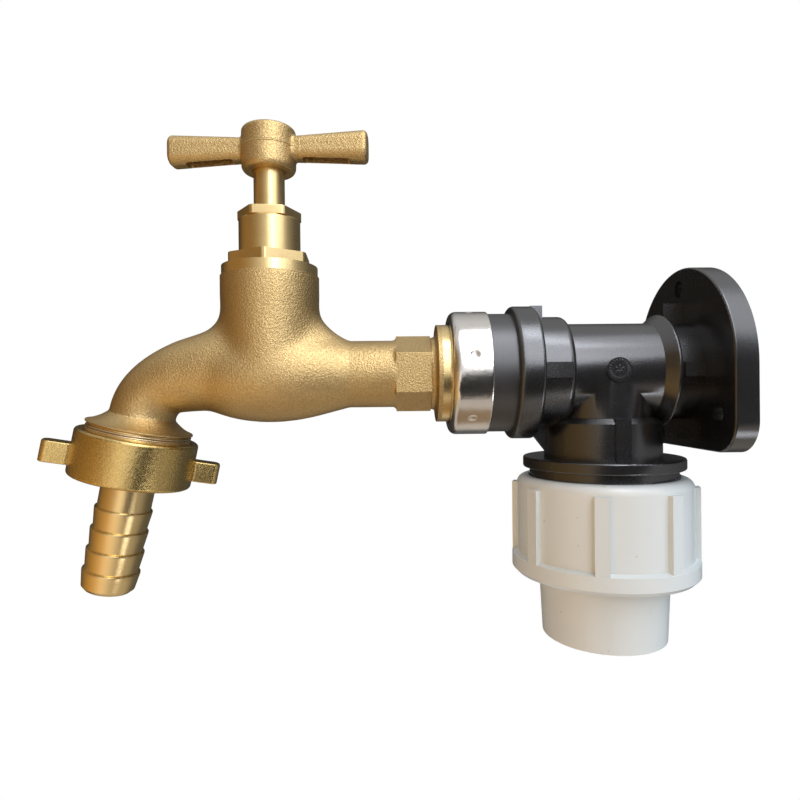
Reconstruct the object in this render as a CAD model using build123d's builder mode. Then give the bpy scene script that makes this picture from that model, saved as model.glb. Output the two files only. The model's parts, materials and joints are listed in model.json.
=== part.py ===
from build123d import *
import os
from math import cos, exp, radians, sin

# Garden tap on a wall-plate elbow, in millimetres.
# The wall is the plane X = 0, the water inlet runs along X, and +Z is up.

# Overlap of joined shapes and the tolerance for matching sizes
lap = 1.0
match = 1e-6

# Wall plate of the elbow
plate_width = 53.0
plate_top = 27.4
plate_bottom = 20.3
plate_thickness = 5.5
plate_corner = 8.0
plate_edge = 0.6
screw_circle = 44.0
screw_hole_dia = 4.5
screw_count = 3

# Elbow run, as lengths one after another out from the wall plate
core_length = 6.1
collar_width = 3.4
collar_land = 0.8
collar_edge = 0.3
collar_dia = 30.2
run_dia = 25.8
run_length = 22.4
socket_dia = 29.6
socket_length = 8.3
socket_round_share = 0.9
lip_dia = 35.3
lip_width = 6.3
lip_edge = 1.0
front_dia = 31.5
front_length = 6.2
ring_seat_dia = 30.4
ring_seat_length = 9.46
rib_reach = 18.0
side_rib_reach = 13.6
rib_width = 3.6
rib_length = 4.9

# Elbow branch, as lengths one after another down from the inlet axis
branch_offset = 26.7
branch_neck_length = 12.2
branch_dia = 30.4
branch_length = 10.44
branch_chamfer = 1.3
disc_dia = 41.7
disc_thickness = 2.86
disc_edge = 0.5
pipe_thread_dia = 38.2
pipe_thread_length = 18.5
bore_dia = 14.4
pipe_dia = 20.0
pipe_clearance = 0.2
pipe_stop_depth = 24.0
seal_section = 3.3
seal_clearance = 0.05

# Small marks and webs moulded on the elbow
pad_height = 0.45
size_pad_width = 3.9
size_pad_length = 6.9
size_pad_gap = 0.3
branch_pad_width = 3.8
stamp_dia = 6.2
stamp_root = 2.0
lug_width = 9.0
lug_drop = 0.3
lug_length = 2.1
web_thickness = 3.0
web_height = 6.4
web_length = 5.0

# Steel ring round the mouth of the elbow
ring_dia = 32.7
ring_wall = 1.1
ring_lip = 0.5
ring_mouth_clearance = 0.45
ring_rounding = 1.9
ring_clearance = 0.05
dimple_count = 6
dimple_turn = 76.1
dimple_dia = 2.6
dimple_depth = 0.35

# Compression nut and the rings inside it
nut_drop = 2.2
nut_dia = 48.0
nut_panel_dia = 45.2
nut_rib_count = 8
nut_rib_width = 3.4
nut_rib_inset = 0.1
nut_rib_turn = -109.5
nut_height = 25.6
nut_band = 4.6
nut_band_chamfer = 1.1
nut_thread_clearance = 0.35
nut_shoulder = 2.4
sleeve_dia = 33.6
sleeve_tip_dia = 32.0
sleeve_length = 16.6
sleeve_wall = 3.0
thrust_height = 5.0
thrust_dia = 27.2
grip_height = 15.0
grip_dia = 28.6
grip_tip_dia = 24.6
grip_slit = 2.4
grip_land = 2.0
cone_clearance = 0.35
sleeve_clearance = 0.3

# Tap body: inlet tail, flange, hexagon and neck along the inlet axis
tail_dia = 20.955
tail_length = 14.5
tail_clearance = 0.06
tail_chamfer = 1.0
flange_dia = 25.9
flange_width = 3.7
flare_length = 1.5
hex_flats = 17.5
hex_length = 9.2
hex_turn = 0.0
hex_corner_share = 1.115
inlet_corner_share = 1.15
neck_dia = 17.8
neck_length = 12.2
inlet_bore_dia = 12.4

# Tap body: barrel over the valve, globe round the seat
globe_reach = 21.2
globe_dia = 25.5
globe_shares = [(0.825, 0.72), (0.955, 0.36), (1, 0), (0.955, -0.34), (0.825, -0.64), (0.56, -0.96)]
barrel_dia = 26.0
barrel_top = 25.96
barrel_ring_dia = 25.28
barrel_ring_height = 2.64
barrel_saddle_top = 19.0
barrel_saddle_bottom = 6.5
barrel_inset = 0.15
saddle_inset = 0.45
spout_saddle_reach = 1.2
spout_saddle_power = 2.4
inlet_saddle_power = 2.1
saddle_lobe_angle = 24.0
saddle_step = 20
chamber_dia = 20.1
chamber_floor = 6.0
seat_height = 1.4
seat_dia = 14.6
seat_bore_dia = 10.4
supply_bore_dia = 10.4
supply_drop = 3.6
supply_lap = 9.0

# Spout, bent down towards the outlet
spout_slope = 14.0
outlet_lean = 12.1
bend_radius = 12.8
bend_reach = 21.8
bend_drop = 13.2
spout_root_dia = 20.6
spout_mid_dia = 18.4
spout_neck_dia = 16.6
spout_wall = 2.2
outlet_length = 3.3
spout_start = 20.0
outlet_start = 16.5

# Outlet thread, union nut and hose tail, along the outlet axis from the rim
rim_edge = 0.35
rim_lip = 0.23
rim_flare = 5.2
rim_root = 0.5
rim_swell = 0.9
rim_slope = (1, 0.25)
outlet_thread_dia = 26.44
outlet_relief_depth = 0.62
outlet_relief = 1.3
outlet_thread_length = 8.2
outlet_bore_dia = 12.4
gasket_thickness = 1.7
gasket_inset = 0.22
union_wall = 2.15
union_top = 1.95
union_chamfer = 0.5
union_thread_clearance = 0.08
union_floor = 2.3
union_wing_length = 6.65
union_wing_height = 5.6
union_wing_drop = 1.25
union_wing_root = 1.0
union_wing_width = 5.0
union_wing_turn = -20.5
hose_flange = 1.9
hose_flange_clearance = 0.5
hose_neck_dia = 13.7
hose_neck_clearance = 0.35
hose_neck_length = 7.6
hose_neck_taper = 0.15
hose_crest_dia = 14.5
hose_root_dia = 13.3
hose_land = 0.5
barb_count = 4
barb_pitch = 5.55
hose_bore_dia = 9.6
hose_tip_chamfer = 1.0

# Bonnet, gland and spindle on the valve axis
bonnet_thread_length = 9.1
bonnet_clearance = 0.05
bonnet_hex_flats = 20.0
bonnet_hex_height = 3.0
bonnet_hex_turn = 32.8
bonnet_neck_dia = 16.2
bonnet_neck_height = 9.5
bonnet_neck_chamfer = 0.3
bonnet_gasket_width = 1.0
bonnet_gasket_height = 1.0
spindle_thread_dia = 10.84
spindle_thread_length = 14.5
spindle_dia = 8.2
running_clearance = 0.08
gland_bore_dia = 12.2
gland_depth = 6.9
gland_floor = 0.7
gland_hex_flats = 15.0
gland_hex_height = 2.3
gland_hex_turn = 6.7
packing_washer_height = 0.7
packing_height = 3.5
handle_gap = 10.7
spindle_square = 5.6
square_clearance = 0.05

# Valve disc with its washer and nut
washer_thickness = 2.2
washer_dia = 13.8
jumper_thickness = 2.4
jumper_dia = 14.4
jumper_stem_dia = 5.0
jumper_stem_length = 6.5
jumper_stem_gap = 0.5
jumper_stud_end = 0.6
jumper_stud_dia = 3.2
washer_nut_flats = 6.0
washer_nut_height = 1.8

# Handle with two arms and its screw
hub_dia = 14.4
hub_height = 11.4
hub_rounding = 0.6
hub_foot = 1.0
hub_socket_depth = 1.5
hub_web = 1.0
hub_recess = 2.3
arm_reach = 26.6
arm_centre = 6.1
arm_root_width = 5.6
arm_root_height = 5.8
arm_tip_width = 7.2
arm_tip_height = 8.2
arm_rounding = 1.9
arm_end_rounding = 2.8
arm_tip_rounding = 1.2
arm_slot_start = 9.3
arm_slot_end = 22.0
arm_slot_width = 3.8
arm_slot_depth = 3.4
handle_turn = 3.0
screw_dia = 3.2
screw_head_dia = 6.6
screw_head_height = 2.0
screw_length = 6.5
screw_end_gap = 0.5
screw_head_chamfer = 0.4
screw_clearance = 0.15
screw_slot_width = 1.0

# Positions worked out from the sizes above
core_x = -plate_thickness - core_length
collar_x = core_x - collar_width
run_x = collar_x - run_length
socket_x = run_x - socket_length
lip_x = socket_x - lip_width
front_x = lip_x - front_length
mouth_x = front_x - ring_seat_length
flange_x = mouth_x - flange_width
hex_x = flange_x - flare_length
neck_x = hex_x - hex_length
globe_x = neck_x - neck_length
valve_x = globe_x - globe_reach
tail_end_x = mouth_x + tail_length

shoulder_z = -branch_neck_length
disc_z = shoulder_z - branch_length
thread_z = disc_z - disc_thickness
thread_end_z = thread_z - pipe_thread_length
nut_top_z = thread_z - nut_drop
nut_bottom_z = nut_top_z - nut_height
sleeve_end_z = nut_bottom_z - sleeve_length
pipe_bore = pipe_dia / 2 + pipe_clearance
seal_top_z = thread_end_z + seal_section
thrust_end_z = thread_end_z - thrust_height
grip_end_z = thrust_end_z - grip_height

seat_z = chamber_floor + seat_height
jumper_z = seat_z + washer_thickness
spindle_z = jumper_z + jumper_thickness
body_top_z = barrel_top + barrel_ring_height
bonnet_end_z = body_top_z - bonnet_thread_length
neck_z = body_top_z + bonnet_hex_height
neck_top_z = neck_z + bonnet_neck_height
gland_floor_z = neck_top_z - gland_depth
packing_z = gland_floor_z + packing_washer_height
packing_top_z = packing_z + packing_height
gland_top_z = neck_top_z + gland_hex_height
hub_z = gland_top_z + handle_gap
hub_top_z = hub_z + hub_height
recess_z = hub_top_z - hub_recess
square_top_z = recess_z - hub_web
square_z = hub_z + hub_socket_depth
arm_z = hub_z + arm_centre

bend_x = valve_x - bend_reach
outlet_turn = 90 - outlet_lean
outlet_dir = Vector(-sin(radians(outlet_lean)), 0, -cos(radians(outlet_lean)))
outlet_side = Vector(cos(radians(outlet_lean)), 0, -sin(radians(outlet_lean)))
bend_end = Vector(bend_x, 0, -bend_drop) - outlet_side * bend_radius
rim_centre = bend_end + outlet_dir * outlet_length
gasket_s = outlet_thread_length
hose_flange_s = gasket_s + gasket_thickness
union_floor_s = hose_flange_s + hose_flange
union_end_s = union_floor_s + union_floor
barb_s = union_end_s + hose_neck_length
hose_end_s = barb_s + barb_count * barb_pitch

# Planes whose local x is a radius and whose local y runs along a turning axis
inlet_plane = Plane(origin=(0, 0, 0), x_dir=(0, 0, 1), z_dir=(0, 1, 0))
valve_plane = Plane(origin=(valve_x, 0, 0), x_dir=(1, 0, 0), z_dir=(0, -1, 0))
pipe_plane = Plane(origin=(-branch_offset, 0, 0), x_dir=(1, 0, 0), z_dir=(0, -1, 0))
outlet_plane = Plane(origin=rim_centre, x_dir=outlet_side, z_dir=(0, 1, 0))


def turned(plane, outline, mode=Mode.ADD):
    """Revolve an outline of (radius, position) points about the plane's y axis."""
    with BuildSketch(plane) as profile:
        with BuildLine():
            Polyline(*outline, close=True)
        make_face()
    revolve(profile.sketch, axis=Axis(plane.origin, plane.y_dir), mode=mode)


def rod(plane, radius, start, end, mode=Mode.ADD):
    """Turn a plain round length between two positions."""
    turned(plane, [(0, start), (radius, start), (radius, end), (0, end)], mode)


def tube(plane, inner, outer, start, end, mode=Mode.ADD):
    """Turn a hollow round length between two positions."""
    turned(plane, [(inner, start), (outer, start), (outer, end), (inner, end)], mode)


def across(plane, position):
    """The plane square to a turning axis at a position on it."""
    return Plane(origin=plane.from_local_coords((0, position, 0)), x_dir=plane.x_dir, z_dir=plane.y_dir)


def hexagon(plane, flats, turn, start, end, corner_share=hex_corner_share):
    """Extrude a hexagon of a width across flats, its corners turned down, between two positions."""
    with BuildSketch(across(plane, start)) as profile:
        RegularPolygon(flats / 2, 6, major_radius=False, rotation=turn)
        Circle(flats / 2 * corner_share, mode=Mode.INTERSECT)
    extrude(profile.sketch, amount=end - start)


def round_edges(piece, radius):
    """Circular edges of a piece that have a radius."""
    circles = piece.edges().filter_by(GeomType.CIRCLE)
    return circles.filter_by(lambda edge: abs(edge.radius - radius) < match)


def spout_station(turn):
    """Centre plane of the spout where it has turned down by an angle."""
    out = Vector(-sin(radians(turn)), 0, cos(radians(turn)))
    along = Vector(-cos(radians(turn)), 0, -sin(radians(turn)))
    centre = Vector(bend_x, 0, -bend_drop) + out * bend_radius
    return Plane(origin=centre, x_dir=out, z_dir=along)


def spout_shape(wall, start_back, mode=Mode.ADD):
    """Loft the spout through round sections, set in from the outside by a wall."""
    first = spout_station(spout_slope)
    root = Plane(origin=first.origin - first.z_dir * start_back, x_dir=first.x_dir, z_dir=first.z_dir)
    half_turn = (spout_slope + outlet_turn) / 2
    stations = [
        (root, spout_root_dia),
        (first, spout_mid_dia),
        (spout_station(half_turn), spout_neck_dia),
        (spout_station(outlet_turn), spout_neck_dia),
    ]
    sections = []
    for station, dia in stations:
        with BuildSketch(station) as section:
            Circle(dia / 2 - wall)
        sections.append(section.sketch)
    loft(sections, mode=mode)


def saddle_section(height, left, right):
    """Closed outline round the valve axis with a lobe towards the spout and one towards the inlet."""
    points = []
    for angle in range(0, 360, saddle_step):
        to_right = exp(-((min(angle, 360 - angle) / saddle_lobe_angle) ** 2))
        to_left = exp(-(((angle - 180) / saddle_lobe_angle) ** 2))
        radius = barrel_dia / 2 - saddle_inset + right * to_right + left * to_left
        points.append((radius * cos(radians(angle)), radius * sin(radians(angle))))
    with BuildSketch(Plane(origin=(valve_x, 0, height))) as section:
        with BuildLine():
            Spline(*points, periodic=True)
        make_face()
    return section.sketch


# Wall elbow, moulded in one piece
with BuildPart() as wall_elbow:
    arch_radius = plate_width / 2
    arch_centre = plate_top - arch_radius
    with BuildSketch(Plane.YZ.offset(-plate_thickness)):
        with BuildLine():
            Line((-arch_radius, arch_centre), (-arch_radius, -plate_bottom))
            Line((-arch_radius, -plate_bottom), (arch_radius, -plate_bottom))
            Line((arch_radius, -plate_bottom), (arch_radius, arch_centre))
            ThreePointArc((arch_radius, arch_centre), (0, plate_top), (-arch_radius, arch_centre))
        corners = make_face().vertices().group_by(Axis.Y)[0]
        fillet(corners, plate_corner)
    extrude(amount=plate_thickness)
    fillet(wall_elbow.faces().sort_by(Axis.X)[0].edges(), plate_edge)
    # Ribs between the collar and the plate
    with BuildSketch(Plane.YZ.offset(-plate_thickness - rib_length)):
        Rectangle(2 * side_rib_reach, rib_width)
        Rectangle(rib_width, 2 * rib_reach)
    extrude(amount=rib_length)
    # Run, collar and socket, turned about the inlet axis
    run = run_dia / 2
    collar = collar_dia / 2
    socket = socket_dia / 2
    lip = lip_dia / 2
    front = front_dia / 2
    seat = ring_seat_dia / 2
    rod(inlet_plane, run, -plate_thickness, run_x)
    rod(inlet_plane, socket, run_x, socket_x)
    shoulder_edge = round_edges(wall_elbow, socket).sort_by(Axis.X)[-1]
    fillet(shoulder_edge, (socket - run) * socket_round_share)
    collar_outline = [
        (0, core_x),
        (collar, core_x),
        (collar, core_x - collar_land),
        (run, collar_x),
        (0, collar_x),
    ]
    turned(inlet_plane, collar_outline)
    fillet(round_edges(wall_elbow, collar), collar_edge)
    rod(inlet_plane, lip, socket_x, lip_x)
    rod(inlet_plane, front, lip_x, front_x)
    rod(inlet_plane, seat, front_x, mouth_x)
    fillet(round_edges(wall_elbow, lip), lip_edge)
    # Branch to the pipe
    branch = branch_dia / 2
    disc = disc_dia / 2
    pipe_thread = pipe_thread_dia / 2
    rod(pipe_plane, run, disc_z, 0)
    shoulder_outline = [
        (0, disc_z),
        (branch, disc_z),
        (branch, shoulder_z - branch_chamfer),
        (branch - branch_chamfer, shoulder_z),
        (0, shoulder_z),
    ]
    turned(pipe_plane, shoulder_outline)
    rod(pipe_plane, disc, thread_z, disc_z)
    fillet(round_edges(wall_elbow, disc), disc_edge)
    rod(pipe_plane, pipe_thread, thread_end_z, thread_z)
    # Web in the corner between the socket and the branch
    web_x = -branch_offset - branch
    with BuildSketch(Plane.XZ.offset(-web_thickness / 2)):
        with BuildLine():
            Polyline(
                (web_x + web_length / 2, -socket + lap),
                (web_x - web_length, -socket + lap),
                (web_x - web_length, -socket),
                (web_x, -socket - web_height),
                (web_x + web_length / 2, -socket - web_height),
                close=True,
            )
        make_face()
    extrude(amount=web_thickness)
    # Raised size pads, stamp disc and locating lug
    with BuildSketch(Plane.XZ.offset(run)):
        with Locations((socket_x + size_pad_length / 2 + size_pad_gap, 0)):
            Rectangle(size_pad_length, size_pad_width)
    extrude(amount=socket - run + pad_height)
    with BuildSketch(Plane.XZ.offset(run - stamp_root)):
        with Locations((-branch_offset, 0)):
            Circle(stamp_dia / 2)
    extrude(amount=stamp_root + pad_height)
    with BuildSketch(Plane.XZ.offset(run)):
        with Locations((-branch_offset, disc_z + branch_length / 2)):
            Rectangle(branch_pad_width, branch_length)
    extrude(amount=branch - run + pad_height)
    with BuildSketch(Plane.XY.offset(socket - lap)):
        with Locations((socket_x + (lug_length - lip_edge) / 2, 0)):
            Rectangle(lug_length + lip_edge, lug_width)
    extrude(amount=lip - socket + lap - lug_drop)
    # Water way, pipe socket and screw holes
    rod(inlet_plane, tail_dia / 2 + tail_clearance, mouth_x, tail_end_x + lap, Mode.SUBTRACT)
    rod(inlet_plane, bore_dia / 2, mouth_x, -branch_offset + bore_dia / 2, Mode.SUBTRACT)
    rod(pipe_plane, bore_dia / 2, thread_end_z, 0, Mode.SUBTRACT)
    rod(pipe_plane, pipe_bore, thread_end_z, -pipe_stop_depth, Mode.SUBTRACT)
    seal_outer = pipe_bore + seal_section + seal_clearance
    rod(pipe_plane, seal_outer, thread_end_z, seal_top_z, Mode.SUBTRACT)
    with BuildSketch(Plane.YZ.offset(-plate_thickness)):
        with PolarLocations(screw_circle / 2, screw_count, start_angle=90):
            Circle(screw_hole_dia / 2)
    extrude(amount=plate_thickness, mode=Mode.SUBTRACT)
wall_elbow.part.label = "wall_elbow"


# Steel ring pressed over the mouth of the elbow
with BuildPart() as reinforcing_ring:
    ring_outer = ring_dia / 2
    ring_inner = ring_seat_dia / 2 + ring_clearance
    ring_mouth = flange_dia / 2 + ring_mouth_clearance
    ring_face_x = mouth_x - ring_clearance
    ring_outline = [
        (ring_inner, front_x),
        (ring_outer, front_x),
        (ring_outer, ring_face_x - ring_lip),
        (ring_mouth, ring_face_x - ring_lip),
        (ring_mouth, ring_face_x),
        (ring_inner, ring_face_x),
    ]
    turned(inlet_plane, ring_outline)
    fillet(reinforcing_ring.edges().group_by(Axis.X)[0].sort_by(SortBy.RADIUS)[-1], ring_rounding)
    dimple_x = (front_x + mouth_x) / 2
    dimple_sphere = (dimple_dia**2 / 4 + dimple_depth**2) / (2 * dimple_depth)
    dimple_reach = ring_outer + dimple_sphere - dimple_depth
    dimple_plane = Plane(origin=(dimple_x, 0, 0), x_dir=(0, 0, 1), z_dir=(1, 0, 0))
    with Locations(dimple_plane):
        with PolarLocations(dimple_reach, dimple_count, start_angle=dimple_turn):
            Sphere(dimple_sphere, mode=Mode.SUBTRACT)
reinforcing_ring.part.label = "reinforcing_ring"

# Rubber ring that seals on the pipe
with BuildPart() as pipe_seal:
    seal_radius = seal_section / 2
    with BuildSketch(pipe_plane):
        with Locations((pipe_bore + seal_radius, thread_end_z + seal_radius)):
            Circle(seal_radius)
    revolve(axis=Axis((-branch_offset, 0, 0), (0, 0, 1)))
pipe_seal.part.label = "pipe_seal"

# Plain ring between the seal and the grip ring
with BuildPart() as thrust_ring:
    tube(pipe_plane, pipe_bore, thrust_dia / 2, thrust_end_z, thread_end_z)
thrust_ring.part.label = "thrust_ring"

# Split tapered ring that bites on the pipe
with BuildPart() as grip_ring:
    grip_outline = [
        (pipe_bore, thrust_end_z),
        (grip_dia / 2, thrust_end_z),
        (grip_dia / 2, thrust_end_z - grip_land),
        (grip_tip_dia / 2, grip_end_z),
        (pipe_bore, grip_end_z),
    ]
    turned(pipe_plane, grip_outline)
    with BuildSketch(Plane(origin=(-branch_offset, 0, grip_end_z))):
        with Locations((0, grip_dia / 2)):
            Rectangle(grip_slit, grip_dia)
    extrude(amount=grip_height, mode=Mode.SUBTRACT)
grip_ring.part.label = "grip_ring"

# Compression nut with eight ribs and a plain sleeve
with BuildPart() as compression_nut:
    panel = nut_panel_dia / 2
    sleeve = sleeve_dia / 2
    sleeve_tip = sleeve_tip_dia / 2
    nut_bore = pipe_thread_dia / 2 + nut_thread_clearance
    seat_top_z = thrust_end_z - cone_clearance
    cone_top = grip_dia / 2 + cone_clearance
    cone_tip = grip_tip_dia / 2 + cone_clearance
    cone_end_z = grip_end_z - cone_clearance
    with BuildSketch(pipe_plane):
        with BuildLine():
            Polyline(
                (nut_bore, nut_top_z),
                (panel, nut_top_z),
                (panel, nut_bottom_z),
                (sleeve, nut_bottom_z),
                (sleeve_tip, sleeve_end_z),
                (pipe_bore + sleeve_clearance, sleeve_end_z),
                (pipe_bore + sleeve_clearance, cone_end_z),
                (cone_tip, cone_end_z),
                (cone_top, thrust_end_z - grip_land),
                (cone_top, thread_end_z - cone_clearance),
                (nut_bore, thread_end_z - cone_clearance),
                close=True,
            )
        nut_corners = make_face().vertices().group_by(Axis.Y)[-1]
        fillet(nut_corners.sort_by(Axis.X)[-1], nut_shoulder)
    revolve(axis=Axis((-branch_offset, 0, 0), (0, 0, 1)))
    # Ribs and the bottom band, all inside the outer circle
    rib_outer = nut_dia / 2 - nut_rib_inset
    rib_bottom_z = nut_bottom_z + nut_band_chamfer + nut_rib_inset
    with BuildSketch(Plane(origin=(-branch_offset, 0, rib_bottom_z))):
        with PolarLocations((panel - lap + rib_outer) / 2, nut_rib_count, start_angle=nut_rib_turn):
            Rectangle(rib_outer - panel + lap, nut_rib_width)
    extrude(amount=nut_top_z - nut_shoulder - rib_bottom_z)
    band_outline = [
        (panel - lap, nut_bottom_z),
        (nut_dia / 2 - nut_band_chamfer, nut_bottom_z),
        (nut_dia / 2, nut_bottom_z + nut_band_chamfer),
        (nut_dia / 2, nut_bottom_z + nut_band),
        (panel - lap, nut_bottom_z + nut_band + lap),
    ]
    turned(pipe_plane, band_outline)
compression_nut.part.label = "compression_nut"


# Tap body, cast with its barrel, globe and spout and machined at the joints
with BuildPart() as tap_body:
    neck = neck_dia / 2
    globe = globe_dia / 2
    barrel = barrel_dia / 2
    outer_reach = globe_x - valve_x
    # Globe round the seat
    globe_points = [(neck, globe_x)]
    for radius_share, reach_share in globe_shares:
        globe_points.append((globe * radius_share, valve_x + outer_reach * reach_share))
    globe_end = globe_points[-1][1]
    with BuildSketch(inlet_plane):
        with BuildLine():
            Spline(*globe_points)
            Polyline(globe_points[-1], (0, globe_end), (0, globe_x), globe_points[0])
        make_face()
    revolve(axis=Axis.X)
    # Barrel and the saddle that blends it into the globe
    barrel_outline = [
        (0, 0),
        (globe - barrel_inset, 0),
        (barrel, barrel_saddle_top),
        (barrel, barrel_top),
        (0, barrel_top),
    ]
    turned(valve_plane, barrel_outline)
    left_reach = bend_reach + spout_saddle_reach - barrel
    right_reach = outer_reach - barrel
    saddle = []
    for share in (0, 0.3, 0.65, 1):
        rise = (1 - share) * (barrel_saddle_top - barrel_saddle_bottom)
        spread = rise / (barrel_saddle_top - neck)
        left = left_reach * spread**spout_saddle_power
        right = right_reach * spread**inlet_saddle_power
        saddle.append(saddle_section(barrel_saddle_top - rise, left, right))
    loft(saddle)
    # Spout and its flared outlet rim
    spout_shape(0, spout_start)
    spout = spout_neck_dia / 2
    outlet_thread = outlet_thread_dia / 2
    outlet_groove = outlet_thread - outlet_relief_depth
    rim = outlet_thread + rim_lip
    with BuildSketch(outlet_plane):
        with BuildLine():
            rim_points = [
                (spout - rim_root, -rim_flare),
                (spout + rim_swell, -rim_flare / 2),
                (rim, -rim_edge),
            ]
            Line((0, -rim_flare), rim_points[0])
            Spline(*rim_points, tangents=((0, 1), rim_slope))
            Polyline(
                (rim, -rim_edge),
                (rim, 0),
                (outlet_groove, rim_edge),
                (outlet_groove, outlet_relief),
                (outlet_thread, outlet_relief + rim_edge),
                (outlet_thread, outlet_thread_length - rim_edge),
                (outlet_thread - rim_edge, outlet_thread_length),
                (0, outlet_thread_length),
                (0, -rim_flare),
            )
        make_face()
    revolve(axis=Axis(rim_centre, outlet_dir))
    # Neck, hexagon, flange and threaded tail
    flange = flange_dia / 2
    tail = tail_dia / 2
    hex_core = hex_flats / 2 - lap / 2
    flare_start = (hex_flats / 2 * inlet_corner_share - lap / 2, hex_x)
    flare_end = (flange, flange_x)
    with BuildSketch(inlet_plane):
        with BuildLine():
            Polyline(
                (0, globe_x),
                (neck, globe_x),
                (neck, neck_x),
                (hex_core, neck_x),
                (hex_core, hex_x),
                flare_start,
            )
            Spline(flare_start, flare_end, tangents=((0, 1), (1, 0)))
            Polyline(
                flare_end,
                (flange, mouth_x),
                (tail, mouth_x),
                (tail, tail_end_x - tail_chamfer),
                (tail - tail_chamfer, tail_end_x),
                (0, tail_end_x),
                (0, globe_x),
            )
        make_face()
    revolve(axis=Axis((0, 0, 0), (1, 0, 0)))
    hexagon(inlet_plane, hex_flats, hex_turn, neck_x, hex_x, inlet_corner_share)
    # Machined ring on top of the barrel
    rod(valve_plane, barrel_ring_dia / 2, barrel_top, body_top_z)
    # Supply bore, chamber with its seat, and the way out through the spout
    rod(inlet_plane, inlet_bore_dia / 2, globe_x - supply_lap, tail_end_x, Mode.SUBTRACT)
    supply_plane = Plane(origin=(0, 0, -supply_drop), x_dir=(0, 0, 1), z_dir=(0, 1, 0))
    rod(supply_plane, supply_bore_dia / 2, valve_x - supply_bore_dia / 2, globe_x, Mode.SUBTRACT)
    rod(valve_plane, chamber_dia / 2, chamber_floor, body_top_z, Mode.SUBTRACT)
    rod(valve_plane, seat_dia / 2, chamber_floor - lap, seat_z)
    rod(valve_plane, seat_bore_dia / 2, -supply_drop, seat_z, Mode.SUBTRACT)
    spout_shape(spout_wall, outlet_start, Mode.SUBTRACT)
    rod(outlet_plane, outlet_bore_dia / 2, -outlet_length - lap / 2, outlet_thread_length, Mode.SUBTRACT)
    gasket_seat = chamber_dia / 2 + bonnet_gasket_width + bonnet_clearance
    rod(valve_plane, gasket_seat, body_top_z - bonnet_gasket_height, body_top_z, Mode.SUBTRACT)
tap_body.part.label = "tap_body"

# Bonnet screwed into the barrel
with BuildPart() as bonnet:
    bonnet_thread = chamber_dia / 2 - bonnet_clearance
    bonnet_neck = bonnet_neck_dia / 2
    rod(valve_plane, bonnet_thread, bonnet_end_z, body_top_z)
    hexagon(valve_plane, bonnet_hex_flats, bonnet_hex_turn, body_top_z, neck_z)
    rod(valve_plane, bonnet_neck, neck_z, neck_top_z)
    chamfer(bonnet.faces().sort_by(Axis.Z)[-1].edges(), bonnet_neck_chamfer)
    thread_bore = spindle_thread_dia / 2 + running_clearance
    rod(valve_plane, thread_bore, bonnet_end_z, gland_floor_z - gland_floor, Mode.SUBTRACT)
    rod(valve_plane, spindle_dia / 2 + running_clearance, bonnet_end_z, neck_top_z, Mode.SUBTRACT)
    rod(valve_plane, gland_bore_dia / 2, gland_floor_z, neck_top_z, Mode.SUBTRACT)
bonnet.part.label = "bonnet"

# Fibre ring under the bonnet's hexagon
with BuildPart() as bonnet_gasket:
    gasket_inner = chamber_dia / 2
    gasket_outer = gasket_inner + bonnet_gasket_width
    tube(valve_plane, gasket_inner, gasket_outer, body_top_z - bonnet_gasket_height, body_top_z)
bonnet_gasket.part.label = "bonnet_gasket"

# Gland: washer, packing and nut
spindle_bore = spindle_dia / 2 + running_clearance
with BuildPart() as packing_washer:
    tube(valve_plane, spindle_bore, gland_bore_dia / 2 - running_clearance, gland_floor_z, packing_z)
packing_washer.part.label = "packing_washer"

with BuildPart() as gland_packing:
    tube(valve_plane, spindle_bore, gland_bore_dia / 2 - running_clearance, packing_z, packing_top_z)
gland_packing.part.label = "gland_packing"

with BuildPart() as gland_nut:
    rod(valve_plane, gland_bore_dia / 2 - running_clearance, packing_top_z, neck_top_z)
    hexagon(valve_plane, gland_hex_flats, gland_hex_turn, neck_top_z, gland_top_z)
    rod(valve_plane, spindle_bore, packing_top_z, gland_top_z, Mode.SUBTRACT)
gland_nut.part.label = "gland_nut"

# Spindle with its lifting thread, a square for the handle and a socket for the valve disc
with BuildPart() as spindle:
    rod(valve_plane, spindle_thread_dia / 2, spindle_z, spindle_z + spindle_thread_length)
    rod(valve_plane, spindle_dia / 2, spindle_z + spindle_thread_length, square_z)
    with BuildSketch(across(valve_plane, square_z)):
        Rectangle(spindle_square, spindle_square, rotation=-handle_turn)
    extrude(amount=square_top_z - square_clearance - square_z)
    stem_bore = jumper_stem_dia / 2 + running_clearance
    rod(valve_plane, stem_bore, spindle_z, spindle_z + jumper_stem_length + jumper_stem_gap, Mode.SUBTRACT)
    rod(valve_plane, screw_dia / 2, recess_z - screw_length - screw_end_gap, square_top_z, Mode.SUBTRACT)
spindle.part.label = "spindle"

# Valve disc, its washer and the nut that holds the washer
with BuildPart() as jumper:
    rod(valve_plane, jumper_dia / 2, jumper_z, spindle_z)
    rod(valve_plane, jumper_stem_dia / 2, spindle_z, spindle_z + jumper_stem_length)
    rod(valve_plane, jumper_stud_dia / 2, seat_z - washer_nut_height - jumper_stud_end, jumper_z)
jumper.part.label = "jumper"

with BuildPart() as valve_washer:
    tube(valve_plane, jumper_stud_dia / 2, washer_dia / 2, seat_z, jumper_z)
valve_washer.part.label = "valve_washer"

with BuildPart() as washer_nut:
    hexagon(valve_plane, washer_nut_flats, 0, seat_z - washer_nut_height, seat_z)
    rod(valve_plane, jumper_stud_dia / 2, seat_z - washer_nut_height, seat_z, Mode.SUBTRACT)
washer_nut.part.label = "washer_nut"

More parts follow.
